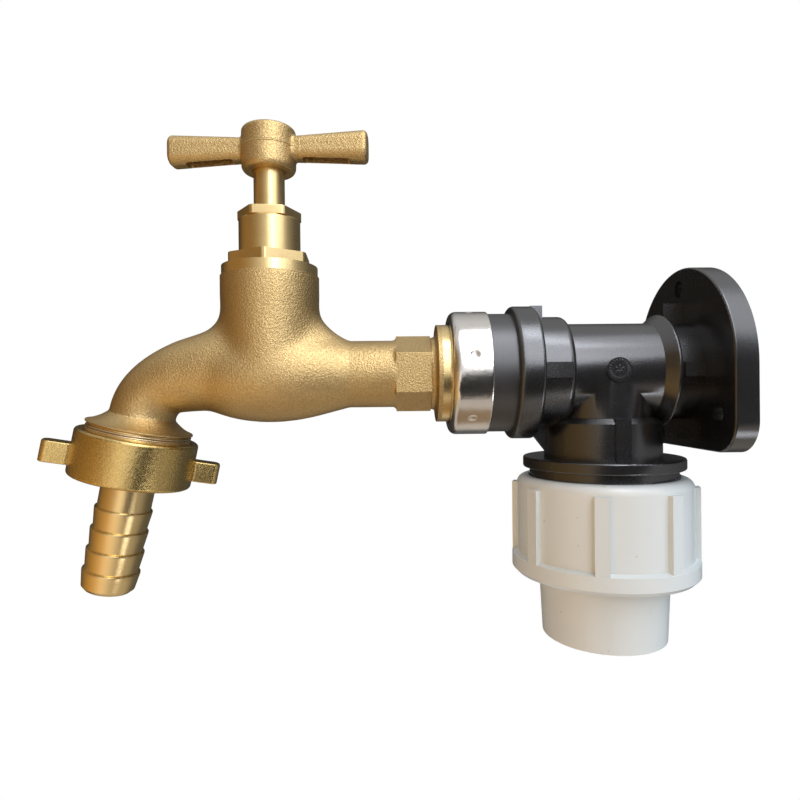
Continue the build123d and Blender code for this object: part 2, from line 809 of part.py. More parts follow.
# Cast handle with two slotted arms
with BuildPart() as handle:
    hub = hub_dia / 2
    for side in (0, 180):
        turn = radians(side - handle_turn)
        arm_dir = Vector(cos(turn), sin(turn), 0)
        arm_origin = Vector(valve_x, 0, arm_z)
        arm_side = Vector(-sin(turn), cos(turn), 0)
        with BuildSketch(Plane(origin=arm_origin + arm_dir * hub / 2, x_dir=arm_side, z_dir=arm_dir)):
            RectangleRounded(arm_root_width, arm_root_height, arm_rounding)
        with BuildSketch(Plane(origin=arm_origin + arm_dir * arm_reach, x_dir=arm_side, z_dir=arm_dir)):
            RectangleRounded(arm_tip_width, arm_tip_height, arm_end_rounding)
        loft()
        tip = handle.faces().sort_by(Axis(arm_origin, arm_dir))[-1]
        fillet(tip.edges(), arm_tip_rounding)
        slot_centre = arm_origin + arm_dir * (arm_slot_start + arm_slot_end) / 2
        slot_origin = slot_centre - Vector(0, 0, arm_tip_height / 2)
        slot_plane = Plane(origin=slot_origin, x_dir=arm_dir, z_dir=(0, 0, 1))
        with BuildSketch(slot_plane):
            RectangleRounded(arm_slot_end - arm_slot_start, arm_slot_width, arm_slot_width / 4)
        extrude(amount=arm_slot_depth + (arm_tip_height - arm_root_height) / 2, mode=Mode.SUBTRACT)
    hub_outline = [
        (0, hub_z),
        (hub - hub_rounding, hub_z),
        (hub, hub_z + hub_foot),
        (hub, hub_top_z - hub_rounding),
        (hub - hub_rounding, hub_top_z),
        (0, hub_top_z),
    ]
    turned(valve_plane, hub_outline)
    rod(valve_plane, spindle_dia / 2 + square_clearance, hub_z, square_z, Mode.SUBTRACT)
    with BuildSketch(across(valve_plane, square_z)):
        square_hole = spindle_square + 2 * square_clearance
        Rectangle(square_hole, square_hole, rotation=-handle_turn)
    extrude(amount=square_top_z - square_z, mode=Mode.SUBTRACT)
    rod(valve_plane, screw_dia / 2 + screw_clearance, square_top_z, recess_z, Mode.SUBTRACT)
    rod(valve_plane, screw_head_dia / 2 + screw_clearance, recess_z, hub_top_z, Mode.SUBTRACT)
handle.part.label = "handle"

# Slotted screw that holds the handle down
with BuildPart() as handle_screw:
    rod(valve_plane, screw_head_dia / 2, recess_z, recess_z + screw_head_height)
    chamfer(handle_screw.faces().sort_by(Axis.Z)[-1].edges(), screw_head_chamfer)
    rod(valve_plane, screw_dia / 2 - square_clearance, recess_z - screw_length, recess_z)
    with BuildSketch(across(valve_plane, recess_z + screw_head_height)):
        Rectangle(screw_head_dia, screw_slot_width)
    extrude(amount=-screw_head_height / 2, mode=Mode.SUBTRACT)
handle_screw.part.label = "handle_screw"

# Rubber ring between the outlet and the hose tail
hose_bore = hose_bore_dia / 2
hose_flange_outer = outlet_thread_dia / 2 - hose_flange_clearance
with BuildPart() as outlet_gasket:
    tube(outlet_plane, hose_bore, hose_flange_outer - gasket_inset, gasket_s, hose_flange_s)
outlet_gasket.part.label = "outlet_gasket"

# Turned hose tail with tapered barbs
with BuildPart() as hose_tail:
    hose_neck = hose_neck_dia / 2
    crest = hose_crest_dia / 2
    root = hose_root_dia / 2
    hose_outline = [
        (hose_bore, hose_flange_s),
        (hose_flange_outer, hose_flange_s),
        (hose_flange_outer, union_floor_s),
        (hose_neck, union_floor_s),
        (hose_neck - hose_neck_taper, barb_s),
    ]
    for barb in range(barb_count):
        start = barb_s + barb * barb_pitch
        last = barb == barb_count - 1
        hose_outline.append((crest, start))
        hose_outline.append((crest, start + hose_land))
        hose_outline.append((root, start + barb_pitch - (hose_tip_chamfer if last else 0)))
    hose_outline.append((root - hose_tip_chamfer, hose_end_s))
    hose_outline.append((hose_bore, hose_end_s))
    turned(outlet_plane, hose_outline)
hose_tail.part.label = "hose_tail"

# Union nut with two wings
with BuildPart() as union_nut:
    union_bore = outlet_thread_dia / 2 + union_thread_clearance
    union = union_bore + union_wall
    union_outline = [
        (hose_neck + hose_neck_clearance, union_floor_s),
        (union_bore, union_floor_s),
        (union_bore, union_top),
        (union - union_chamfer, union_top),
        (union, union_top + union_chamfer),
        (union, union_end_s - union_chamfer),
        (union - union_chamfer, union_end_s),
        (hose_neck + hose_neck_clearance, union_end_s),
    ]
    turned(outlet_plane, union_outline)
    wing_s = (union_top + union_end_s) / 2 + union_wing_drop
    wing_plane = across(outlet_plane, wing_s - union_wing_height / 2)
    with BuildSketch(wing_plane):
        wing_root = union_bore + union_wing_root
        wing_tip = union + union_wing_length
        with PolarLocations((wing_root + wing_tip) / 2, 2, start_angle=union_wing_turn):
            RectangleRounded(wing_tip - wing_root, union_wing_width, union_wing_width / 3)
    extrude(amount=union_wing_height)
union_nut.part.label = "union_nut"

pieces = [
    wall_elbow,
    reinforcing_ring,
    pipe_seal,
    thrust_ring,
    grip_ring,
    compression_nut,
    tap_body,
    bonnet,
    bonnet_gasket,
    packing_washer,
    gland_packing,
    gland_nut,
    spindle,
    jumper,
    valve_washer,
    washer_nut,
    handle,
    handle_screw,
    outlet_gasket,
    hose_tail,
    union_nut,
]
os.makedirs("parts", exist_ok=True)
for piece in pieces:
    export_step(piece.part, f"parts/{piece.part.label}.step")
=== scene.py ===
"""Looks of a garden tap on its wall-plate elbow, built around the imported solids."""

import json
import math

import bmesh
import bpy
from bpy.props import FloatProperty, FloatVectorProperty, PointerProperty
from bpy.types import Operator, Panel, PropertyGroup
from mathutils import Matrix, Vector

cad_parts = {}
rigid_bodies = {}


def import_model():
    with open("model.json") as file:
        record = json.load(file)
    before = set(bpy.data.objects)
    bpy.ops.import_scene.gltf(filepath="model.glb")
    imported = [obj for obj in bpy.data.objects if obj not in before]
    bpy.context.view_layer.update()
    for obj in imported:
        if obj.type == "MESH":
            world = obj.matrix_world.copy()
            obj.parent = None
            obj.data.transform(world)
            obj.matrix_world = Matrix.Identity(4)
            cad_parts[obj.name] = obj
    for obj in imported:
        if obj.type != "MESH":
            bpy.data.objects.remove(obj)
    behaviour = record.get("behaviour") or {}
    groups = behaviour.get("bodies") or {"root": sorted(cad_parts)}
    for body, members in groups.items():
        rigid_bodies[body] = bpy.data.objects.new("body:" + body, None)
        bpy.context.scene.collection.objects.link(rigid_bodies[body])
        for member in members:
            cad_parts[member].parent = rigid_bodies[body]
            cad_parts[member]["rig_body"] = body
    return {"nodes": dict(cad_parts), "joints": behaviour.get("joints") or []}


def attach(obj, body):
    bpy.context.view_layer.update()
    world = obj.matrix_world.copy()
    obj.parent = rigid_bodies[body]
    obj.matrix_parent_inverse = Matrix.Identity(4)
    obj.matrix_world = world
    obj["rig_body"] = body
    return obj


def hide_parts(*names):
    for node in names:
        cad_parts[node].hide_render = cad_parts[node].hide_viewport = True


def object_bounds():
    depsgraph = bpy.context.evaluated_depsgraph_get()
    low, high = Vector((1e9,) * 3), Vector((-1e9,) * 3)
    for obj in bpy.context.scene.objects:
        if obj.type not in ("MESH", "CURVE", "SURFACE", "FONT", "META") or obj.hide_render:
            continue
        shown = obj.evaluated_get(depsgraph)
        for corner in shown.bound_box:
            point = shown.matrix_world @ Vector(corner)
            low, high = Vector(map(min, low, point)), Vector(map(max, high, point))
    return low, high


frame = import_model()
cad_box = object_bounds()

bl_info = {
    "name": "Garden Tap Dressing",
    "version": (1, 0, 0),
    "blender": (4, 5, 0),
    "location": "View3D > Sidebar > Tap",
    "description": "Finishes, moulded details and studio for a garden tap on a wall-plate elbow",
    "category": "Object",
}


def joint(name):
    """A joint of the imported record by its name."""
    return next(each for each in frame["joints"] if each["name"] == name)


# Axes that finishes and details are turned about
OUTLET_AXIS = Vector(joint("union_nut_turn")["axis"])
OUTLET_RIM = Vector(joint("union_nut_turn")["pos_m"])
PIPE_AXIS_X = joint("compression_nut_turn")["pos_m"][0]
VALVE_AXIS_X = joint("spindle_turn")["pos_m"][0]

# Angles up to which curves are shaded smooth: on dressed solids and on blended, finely meshed pieces
DRESSED_ANGLE = math.radians(35)
BLENDED_ANGLE = math.radians(60)

# Points nearer than this are merged
MERGE_REACH = 0.000002

# Distances above the outlet's rim: where the cast skin ends, and where the machined end starts inside it
SKIN_END = 0.0030
OUTLET_START = 0.0034
# How far the machined ring on the barrel runs into the cast skin
RING_LAP = 0.0005

# Rounds of smoothing on the cast skin, the handle's hub and the steel ring
SKIN_ROUNDS = 150
HUB_ROUNDS = 16
RING_ROUNDS = 8

# Height of the pipe thread's first turn, and the outlet thread's distance below the rim
PIPE_THREAD_FOOT = -0.0430
OUTLET_THREAD_DROP = 0.00045

# Width, depth and rounding of the stamp's ticks
TICK_WIDTH = 0.00028
TICK_DEPTH = 0.00030
TICK_EDGE = 0.00006

# Radius of the floor and of the tent round it, and distance of the lamps
ROOM_REACH = 1.6
LAMP_REACH = 0.62


def colour_property(name, description, default):
    """A colour that a user may change."""
    return FloatVectorProperty(
        name=name, description=description, default=default, subtype="COLOR", size=3, min=0.0, max=1.0
    )


def length_property(name, description, default):
    """A length that a user may change."""
    return FloatProperty(name=name, description=description, default=default, unit="LENGTH", min=0.0)


def angle_property(name, description, default):
    """An angle that a user may change."""
    return FloatProperty(name=name, description=description, default=default, subtype="ANGLE")


class TapFinishSettings(PropertyGroup):
    """Colours and grain sizes of the tap's surfaces."""

    cast_brass: colour_property("Cast brass", "Raised grain of the cast body and handle", (0.70, 0.51, 0.235))
    # Darker brass for the grain's hollows: painted shade in the pits, mixed with random darker mottling
    cast_pit_shade_and_mottle: colour_property("Cast pits", "Pits between the grains of the casting", (0.45, 0.31, 0.135))
    turned_brass: colour_property("Turned brass", "Bonnet, spindle and hose tail", (0.84, 0.63, 0.30))
    union_brass: colour_property("Union brass", "Tumbled union nut", (0.72, 0.52, 0.20))
    ring_steel: colour_property("Ring steel", "Plated ring on the elbow's mouth", (0.78, 0.74, 0.69))
    elbow_black: colour_property("Elbow black", "Moulded wall elbow", (0.004, 0.004, 0.0042))
    nut_ivory: colour_property("Nut ivory", "Moulded compression nut", (0.67, 0.735, 0.73))
    rubber_black: colour_property("Rubber", "Seals and washers", (0.02, 0.02, 0.02))
    polymer_white: colour_property("White polymer", "Grip ring, thrust ring and packing", (0.80, 0.80, 0.78))
    fibre_red: colour_property("Fibre", "Bonnet gasket", (0.40, 0.10, 0.06))
    grain_size: length_property("Casting grain", "Size of the sand grain on cast brass", 0.00046)
    turning_pitch: length_property("Turning pitch", "Spacing of the fine lines on turned brass", 0.00012)


class TapDetailSettings(PropertyGroup):
    """Sizes of edges and moulded details."""

    metal_edge: length_property("Metal edge", "Width of the broken edges on brass", 0.00015)
    plastic_edge: length_property("Plastic edge", "Width of the rounded edges on mouldings", 0.00030)
    union_edge: length_property("Union edge", "Width of the rounded edges on the union nut", 0.00045)
    flange_place: FloatProperty(
        name="Flange place", description="Where the machined flange begins", default=-0.07030, unit="LENGTH"
    )
    barrel_top: length_property("Barrel top", "Where the machined ring on the barrel begins", 0.02596)
    cast_cut: FloatProperty(
        name="Neck cut", description="Where the skin ends under the hexagon", default=-0.0812, unit="LENGTH"
    )
    hex_place: FloatProperty(
        name="Hexagon place", description="Where the inlet hexagon begins", default=-0.08200, unit="LENGTH"
    )
    stamp_reach: length_property("Stamp reach", "Distance of the stamp's ticks from its middle", 0.0023)
    stamp_face: FloatProperty(
        name="Stamp face", description="Where the stamp disc's face stands", default=-0.01335, unit="LENGTH"
    )
    skin_cell: length_property("Skin cell", "Mesh size of the blended cast skin", 0.00045)
    ring_cell: length_property("Ring cell", "Size of the even mesh on the steel ring", 0.00022)
    handle_cell: length_property("Handle cell", "Mesh size of the blended handle", 0.00025)
    hub_reach: length_property("Hub reach", "Where the handle's arms go on from its blended hub", 0.0088)
    hub_lap: length_property("Hub lap", "How far the hub runs into its arms", 0.0003)
    parting_height: length_property("Parting height", "Height of the seam round the handle's hub", 0.0602)


class TapStageSettings(PropertyGroup):
    """Camera, floor and lights."""

    camera_place: FloatVectorProperty(
        name="Camera place",
        description="Where the camera stands",
        default=(-0.08326, -0.15998, -0.00661),
        subtype="TRANSLATION",
        size=3,
    )
    camera_lens: FloatProperty(name="Lens", description="Focal length in millimetres", default=26.79)
    camera_yaw: angle_property("Yaw", "Turn of the camera about the upright axis", -0.0139)
    camera_pitch: angle_property("Pitch", "Tilt of the camera up or down", -0.0026)
    camera_roll: angle_property("Roll", "Turn of the camera about the line of sight", 0.0102)
    flag_place: FloatVectorProperty(
        name="Flag place",
        description="Where the black card stands that shiny surfaces reflect",
        default=(0.0, -0.13, -0.035),
        subtype="TRANSLATION",
        size=3,
    )
    flag_length: length_property("Flag length", "Length of the black card", 0.24)
    flag_width: length_property("Flag width", "Width of the black card", 0.11)
    flag_lean: angle_property("Flag lean", "Slope of the black card", math.radians(-40))
    floor_drop: length_property("Floor drop", "Height of the fixed tap above the floor", 0.25)


class Value:
    """A number that varies over a surface and takes part in Python expressions."""

    def __init__(self, finish, socket):
        self.finish = finish
        self.socket = socket

    def combine(self, operation, first, second):
        """A Math node on two values."""
        return self.finish.node("ShaderNodeMath", {"operation": operation}, {0: first, 1: second})

    def __add__(self, other):
        return self.combine("ADD", self, other)

    def __sub__(self, other):
        return self.combine("SUBTRACT", self, other)

    def __rsub__(self, other):
        return self.combine("SUBTRACT", other, self)

    def __mul__(self, other):
        return self.combine("MULTIPLY", self, other)

    def size(self):
        """The number without its sign."""
        return self.combine("ABSOLUTE", self, 0.0)

    def bearing(self, other):
        """The angle whose sine and cosine are as this number to the other."""
        return self.combine("ARCTAN2", self, other)

    __radd__ = __add__
    __rmul__ = __mul__


class NodeTree:
    """A node tree under construction."""

    def __init__(self, tree):
        self.tree = tree

    def node(self, kind, settings=None, inputs=None, output=0):
        """Add a node, set it up, feed its sockets and hand back one of its outputs."""
        made = self.tree.nodes.new(kind)
        for key, value in (settings or {}).items():
            if key == "stops":
                self.set_stops(made.color_ramp, value)
            else:
                setattr(made, key, value)
        for key, value in (inputs or {}).items():
            self.feed(made.inputs[key], value)
        return Value(self, made.outputs[output]) if made.outputs else None

    def feed(self, socket, value):
        """Link a value to a socket, or set it where it is a plain number or colour."""
        if isinstance(value, Value):
            self.tree.links.new(value.socket, socket)
        else:
            socket.default_value = value

    @staticmethod
    def set_stops(ramp, stops):
        """Give a ramp its stops of (position, colour)."""
        while len(ramp.elements) > len(stops):
            ramp.elements.remove(ramp.elements[-1])
        while len(ramp.elements) < len(stops):
            ramp.elements.new(1.0)
        for element, (position, colour) in zip(ramp.elements, stops):
            element.position = position
            element.color = (*colour, 1.0)

    def place(self):
        """Object coordinates."""
        return self.node("ShaderNodeTexCoord", output="Object")

    def split(self, vector):
        """The three numbers of a vector."""
        parts = self.node("ShaderNodeSeparateXYZ", None, {0: vector}).socket.node
        return [Value(self, socket) for socket in parts.outputs]

    def mix(self, factor, first, second):
        """A colour between two colours."""
        return self.node(
            "ShaderNodeMix", {"data_type": "RGBA"}, {0: factor, 6: rgba(first), 7: rgba(second)}, output=2
        )

    def noise(self, place, size, detail=2.0, roughness=0.5):
        """Noise whose features have a size in metres."""
        return self.node(
            "ShaderNodeTexNoise",
            None,
            {"Vector": place, "Scale": 1.0 / size, "Detail": detail, "Roughness": roughness},
        )

    def spread(self, value, low, high, start=0.0, end=1.0):
        """A smooth rise of a value between two limits."""
        return self.node(
            "ShaderNodeMapRange",
            {"interpolation_type": "SMOOTHSTEP"},
            {"Value": value, "From Min": low, "From Max": high, "To Min": start, "To Max": end},
        )

    def seen(self):
        """1 for rays that bring a surface to the camera, straight, by a mirror or through glass."""
        kinds = ("Camera", "Glossy", "Transmission")
        rays = [self.node("ShaderNodeLightPath", output=f"Is {kind} Ray") for kind in kinds]
        return rays[0] + rays[1] + rays[2]


def rgba(colour):
    """A colour with its alpha, or the value that stands for a colour."""
    return colour if isinstance(colour, Value) else (*colour, 1.0)


class Finish(NodeTree):
    """A material with a Principled shader."""

    def __init__(self, name, metallic=0.0, **constants):
        self.material = bpy.data.materials.new(name)
        self.material.use_nodes = True
        super().__init__(self.material.node_tree)
        self.shader = self.tree.nodes["Principled BSDF"]
        self.shader.inputs["Metallic"].default_value = metallic
        for key, value in constants.items():
            self.shader.inputs[key.replace("_", " ")].default_value = value

    def set(self, name, value):
        """Feed one of the shader's sockets."""
        self.feed(self.shader.inputs[name], value)

    def bump(self, height, depth, strength=1.0):
        """Raise the surface by a height from 0 to 1 times a depth in metres."""
        inputs = {"Height": height, "Distance": depth, "Strength": strength}
        self.set("Normal", self.node("ShaderNodeBump", None, inputs))


class StageFinish(NodeTree):
    """A material of the stage, built from bare nodes."""

    def __init__(self, name):
        self.material = bpy.data.materials.new(name)
        self.material.use_nodes = True
        super().__init__(self.material.node_tree)
        self.tree.nodes.clear()

    def glow(self, colour):
        """An even glow of a colour."""
        return self.node("ShaderNodeEmission", None, {"Color": rgba(colour), "Strength": 1.0})

    def show(self, shader):
        """Make a shader the surface."""
        self.node("ShaderNodeOutputMaterial", None, {"Surface": shader})


def settings():
    """Colours and grain sizes now in force."""
    return bpy.context.scene.tap_finish


def machined_zone(finish, place):
    """1 on the body's machined ring, flange and outlet, 0 on its cast skin."""
    own = bpy.context.scene.tap_detail
    across, _, height = finish.split(place)
    reach = finish.node(
        "ShaderNodeVectorMath", {"operation": "DOT_PRODUCT"}, {0: place, 1: OUTLET_AXIS}, output="Value"
    )
    rim = OUTLET_AXIS.dot(OUTLET_RIM)
    soft = 0.0001
    flange = finish.spread(across, own.flange_place - soft, own.flange_place + soft)
    ring = finish.spread(height, own.barrel_top - soft, own.barrel_top + soft)
    outlet = finish.spread(reach, rim - soft, rim + soft)
    return flange + ring + outlet


def cast_brass(name, parting=None):
    """Sand-cast brass with a fine grain, bright where it was machined."""
    own = settings()
    finish = Finish(name, metallic=1.0)
    place = finish.place()
    grain = finish.noise(place, own.grain_size, detail=3.0, roughness=0.6)
    cloud = finish.noise(place, own.grain_size * 24, detail=2.0)
    raised = finish.spread(grain, 0.34, 0.66)
    # Where the grain is low the darker brass shows as painted shade in the pits; the cloud adds random
    # mottling
    tone = raised * 0.45 + cloud * 0.5 + 0.08
    skin = finish.mix(tone, own.cast_pit_shade_and_mottle, own.cast_brass)
    skin_roughness = 0.42 - raised * 0.08 + cloud * 0.06
    height = grain * 0.7 + cloud * 0.3
    if parting:
        across, depth, level = finish.split(place)
        reach = (across - VALVE_AXIS_X) * (across - VALVE_AXIS_X) + depth * depth
        on_hub = 1.0 - finish.spread(reach, 0.0074**2, 0.0080**2)
        seam = 1.0 - finish.spread((level - parting).size(), 0.00008, 0.00030)
        height = height + seam * on_hub * 0.7
    else:
        machined = machined_zone(finish, place)
        rings = finish.noise(place, own.turning_pitch * 3, detail=2.0)
        skin = finish.mix(machined, skin, own.turned_brass)
        skin_roughness = skin_roughness - machined * (skin_roughness - 0.24 - rings * 0.08)
        height = height - machined * (height - 0.5)
    finish.set("Base Color", skin)
    finish.set("Roughness", skin_roughness)
    finish.bump(height, 0.00027, 1.0)
    return finish.material


def turned_lines(finish, axis_lean, pitch):
    """Fine rings round a turning axis that leans in the plane of the spout."""
    upright = finish.node(
        "ShaderNodeVectorRotate", {"rotation_type": "Y_AXIS"}, {"Vector": finish.place(), "Angle": -axis_lean}
    )
    squeezed = finish.node("ShaderNodeMapping", None, {"Vector": upright, "Scale": (0.02, 0.02, 1.0)})
    return finish.noise(squeezed, pitch, detail=3.0, roughness=0.7)


def turned_brass(name, axis_lean=0.0):
    """Machined brass with fine rings round its axis."""
    own = settings()
    finish = Finish(name, metallic=1.0)
    lines = turned_lines(finish, axis_lean, own.turning_pitch)
    cloud = finish.noise(finish.place(), 0.006, detail=3.0)
    dull = [0.80 * value for value in own.turned_brass]
    finish.set("Base Color", finish.mix(lines * 0.5 + cloud * 0.5, dull, own.turned_brass))
    finish.set("Roughness", 0.20 + lines * 0.14 + cloud * 0.06)
    finish.bump(lines, 0.000012, 0.6)
    return finish.material


def tumbled_brass():
    """Brass of the union nut, tumbled to a soft sparkle."""
    own = settings()
    finish = Finish("tumbled_brass", metallic=1.0)
    place = finish.place()
    sparkle = finish.noise(place, 0.00035, detail=3.0, roughness=0.65)
    dents = finish.noise(place, 0.0022, detail=2.0)
    dull = [0.72 * value for value in own.union_brass]
    finish.set("Base Color", finish.mix(finish.spread(sparkle, 0.35, 0.65), dull, own.union_brass))
    finish.set("Roughness", 0.18 + sparkle * 0.16)
    finish.bump(sparkle * 0.4 + dents * 0.6, 0.00014, 0.9)
    return finish.material


def plated_steel():
    """Satin plated steel with faint scuffs."""
    own = settings()
    finish = Finish("plated_steel", metallic=1.0)
    place = finish.place()
    scuff = finish.noise(place, 0.0009, detail=4.0, roughness=0.7)
    cloud = finish.noise(place, 0.008, detail=2.0)
    dull = [0.82 * value for value in own.ring_steel]
    finish.set("Base Color", finish.mix(cloud, dull, own.ring_steel))
    finish.set("Roughness", 0.10 + scuff * 0.16)
    finish.bump(scuff * 0.6 + cloud * 0.4, 0.00009, 0.6)
    return finish.material


def moulded_black():
    """Black moulding with a faint flow grain, duller towards its mouth."""
    own = settings()
    finish = Finish("moulded_black", Specular_IOR_Level=1.0, IOR=1.6)
    place = finish.place()
    across, _, _ = finish.split(place)
    mouth = finish.spread(across, -0.0500, -0.0525)
    flow = finish.noise(place, 0.012, detail=3.0)
    fine = finish.noise(place, 0.0005, detail=3.0, roughness=0.6)
    pale = [2.2 * value for value in own.elbow_black]
    finish.set("Base Color", finish.mix(flow * 0.6 + fine * 0.2 + mouth * 0.3, own.elbow_black, pale))
    finish.set("Roughness", 0.18 + flow * 0.10 + fine * 0.06 + mouth * 0.16)
    finish.bump(fine * 0.6 + flow * 0.4, 0.00005, 0.5)
    return finish.material


def moulded_ivory():
    """Pale moulding, a little cloudy, with a few dark specks."""
    own = settings()
    finish = Finish("moulded_ivory")
    place = finish.place()
    flow = finish.noise(place, 0.014, detail=3.0)
    specks = finish.spread(finish.noise(place, 0.0016, detail=1.0), 0.765, 0.79)
    warm = (own.nut_ivory[0], own.nut_ivory[1] * 0.985, own.nut_ivory[2] * 0.96)
    body = finish.mix(flow, own.nut_ivory, warm)
    finish.set("Base Color", finish.mix(specks * 0.25, body, (0.25, 0.22, 0.18)))
    finish.set("Roughness", 0.18 + flow * 0.08)
    finish.bump(finish.noise(place, 0.0025, detail=3.0), 0.00004, 0.4)
    return finish.material


def soft_finish(name, colour, roughness, grain):
    """Plain matte finish of the pieces inside."""
    finish = Finish(name)
    speckle = finish.noise(finish.place(), grain, detail=3.0)
    dull = [0.75 * value for value in colour]
    finish.set("Base Color", finish.mix(speckle, dull, colour))
    finish.set("Roughness", roughness - 0.1 + speckle * 0.2)
    finish.bump(speckle, grain * 0.1, 0.5)
    return finish.material


def soft_metal(name, colour):
    """Plain bright metal of small screws and nuts."""
    finish = Finish(name, metallic=1.0)
    scuff = finish.noise(finish.place(), 0.0005, detail=3.0)
    dull = [0.8 * value for value in colour]
    finish.set("Base Color", finish.mix(scuff, dull, colour))
    finish.set("Roughness", 0.25 + scuff * 0.15)
    return finish.material


def deselect_all():
    """Leave nothing selected, so that operators act on one piece alone."""
    if bpy.context.object and bpy.context.object.mode != "OBJECT":
        bpy.ops.object.mode_set(mode="OBJECT")
    bpy.ops.object.select_all(action="DESELECT")


def pick(piece):
    """Make one piece the active and only selected one."""
    deselect_all()
    piece.select_set(True)
    bpy.context.view_layer.objects.active = piece


def merged_copy(node, name):
    """A new object with a node's mesh, its loose triangles merged."""
    piece = bpy.data.objects.new(name, frame["nodes"][node].data.copy())
    bpy.context.scene.collection.objects.link(piece)
    pick(piece)
    bpy.ops.object.mode_set(mode="EDIT")
    bpy.ops.mesh.select_all(action="SELECT")
    bpy.ops.mesh.remove_doubles(threshold=MERGE_REACH)
    bpy.ops.mesh.customdata_custom_splitnormals_clear()
    bpy.ops.object.mode_set(mode="OBJECT")
    return piece


def keep_side(piece, point, normal):
    """Cut a piece with a plane, close the cut and keep the side that the normal points to."""
    pick(piece)
    bpy.ops.object.mode_set(mode="EDIT")
    bpy.ops.mesh.select_all(action="SELECT")
    bpy.ops.mesh.bisect(plane_co=point, plane_no=normal, use_fill=True, clear_inner=True, threshold=0.0000001)
    bpy.ops.object.mode_set(mode="OBJECT")


def break_edges(piece, width, angle=math.radians(38)):
    """Round the sharp outer edges of a piece."""
    pick(piece)
    bpy.ops.object.mode_set(mode="EDIT")
    bpy.ops.mesh.select_mode(type="EDGE")
    bpy.ops.mesh.select_all(action="SELECT")
    bpy.ops.mesh.dissolve_limited(angle_limit=math.radians(0.2))
    bpy.ops.mesh.select_all(action="DESELECT")
    bpy.ops.mesh.edges_select_sharp(sharpness=angle)
    shape = bmesh.from_edit_mesh(piece.data)
    for edge in shape.edges:
        if edge.select and not edge.is_convex:
            edge.select_set(False)
    bmesh.update_edit_mesh(piece.data)
    bpy.ops.mesh.bevel(offset=width, segments=2, affect="EDGES", clamp_overlap=True)
    bpy.ops.object.mode_set(mode="OBJECT")


def seat(piece, node, finish, smooth_angle=DRESSED_ANGLE):
    """Shade a piece, give it its finish and let it stand for a node."""
    pick(piece)
    bpy.ops.object.shade_smooth_by_angle(angle=smooth_angle)
    flat_faces = piece.modifiers.new("flat_faces", "WEIGHTED_NORMAL")
    flat_faces.keep_sharp = True
    bpy.ops.object.modifier_apply(modifier=flat_faces.name)
    piece.data.materials.clear()
    piece.data.materials.append(finish)
    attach(piece, frame["nodes"][node]["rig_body"])
    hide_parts(node)


def dressed_copy(node, finish, edge):
    """A piece that stands for a node, with its outer edges broken and its curves shaded smooth."""
    piece = merged_copy(node, node + "_dressed")
    break_edges(piece, edge)
    seat(piece, node, finish)


def blend(piece, cell, rounds, weight):
    """Remesh a piece evenly and smooth it where the weight says so."""
    pick(piece)
    remesh = piece.modifiers.new("even", "REMESH")
    remesh.mode = "VOXEL"
    remesh.voxel_size = cell
    remesh.adaptivity = 0.0
    bpy.ops.object.modifier_apply(modifier=remesh.name)
    group = piece.vertex_groups.new(name="blend")
    for vertex in piece.data.vertices:
        share = weight(vertex.co)
        if share > 0:
            group.add([vertex.index], share, "REPLACE")
    smooth = piece.modifiers.new("blend", "SMOOTH")
    smooth.factor = 0.5
    smooth.iterations = rounds
    smooth.vertex_group = group.name
    bpy.ops.object.modifier_apply(modifier=smooth.name)


def ramp(value, low, high):
    """Rise from 0 at low to 1 at high."""
    return min(1.0, max(0.0, (value - low) / (high - low)))


def paint(nodes, finish):
    """Give nodes that keep their own mesh a finish."""
    for node in nodes:
        own = frame["nodes"][node].data
        own.materials.clear()
        own.materials.append(finish)


def saddle_weight(point):
    """How much the cast skin is blended: fully round the saddle, not at all at the machined ends."""
    height = ramp(point.z, 0.021, 0.017)
    across = ramp(point.x, -0.140, -0.136) * ramp(point.x, -0.094, -0.098)
    return height * across


class TAP_OT_cast_body(Operator):
    """Blend the cast skin of the body and keep its machined ends crisp"""

    bl_idname = "tap.cast_body"
    bl_label = "Cast body"

    def execute(self, context):
        own = context.scene.tap_detail
        finish = cast_brass("cast_brass")
        skin = merged_copy("tap_body", "tap_body_skin")
        keep_side(skin, (own.cast_cut, 0, 0), (-1, 0, 0))
        keep_side(skin, (0, 0, own.barrel_top), (0, 0, -1))
        keep_side(skin, OUTLET_RIM - OUTLET_AXIS * SKIN_END, -OUTLET_AXIS)
        blend(skin, own.skin_cell, SKIN_ROUNDS, saddle_weight)
        seat(skin, "tap_body", finish, BLENDED_ANGLE)
        ends = (
            ("tap_body_inlet", Vector((own.hex_place, 0, 0)), Vector((1, 0, 0))),
            ("tap_body_ring", Vector((0, 0, own.barrel_top - RING_LAP)), Vector((0, 0, 1))),
            ("tap_body_outlet", OUTLET_RIM - OUTLET_AXIS * OUTLET_START, OUTLET_AXIS),
        )
        for name, point, normal in ends:
            end = merged_copy("tap_body", name)
            break_edges(end, own.metal_edge)
            keep_side(end, point, normal)
            seat(end, "tap_body", finish)
        return {"FINISHED"}


def hub_weight(point):
    """Blend the hub's outside and leave its socket and the ends of the arms as they are."""
    reach = math.hypot(point.x - VALVE_AXIS_X, point.y)
    return ramp(reach, 0.0052, 0.0060) * ramp(reach, 0.0088, 0.0080)


